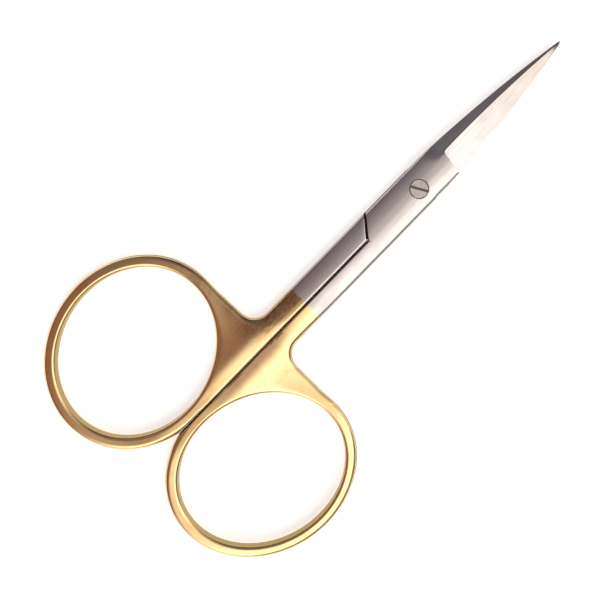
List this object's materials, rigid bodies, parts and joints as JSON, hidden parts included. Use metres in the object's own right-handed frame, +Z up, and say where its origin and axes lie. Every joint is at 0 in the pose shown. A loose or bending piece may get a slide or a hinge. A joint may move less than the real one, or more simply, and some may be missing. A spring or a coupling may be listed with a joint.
{
  "type": "fine-work scissors",
  "caption": "Small straight scissors with round finger rings, a lapped screw joint and narrow pointed blades.",
  "frame": {"origin": "on the pivot screw's axis, in the plane that the closed scissors lie on", "axes": "+Y along the closed blades to the tips, +X to the finger ring of the upper half, +Z up out of the screw head"},
  "size_m": [0.0572, 0.1015, 0.0028],
  "materials": {
    "front_steel": "satin steel, with polished gold plating from the rear of the shank back over the finger ring",
    "back_steel": "satin steel, with polished gold plating from the rear of the shank back over the finger ring",
    "screw_steel": "turned steel with a plain driver slot"
  },
  "bodies": {
    "back": {"back_half": "back_steel", "pivot_screw": "screw_steel"},
    "front": {"front_half": "front_steel"}
  },
  "joints": [
    {"name": "pivot", "type": "hinge", "parent": "back", "child": "front", "pos_m": [0, 0, 0.0014], "axis": [0, 0, 1], "range_deg": [0, 80]}
  ]
}
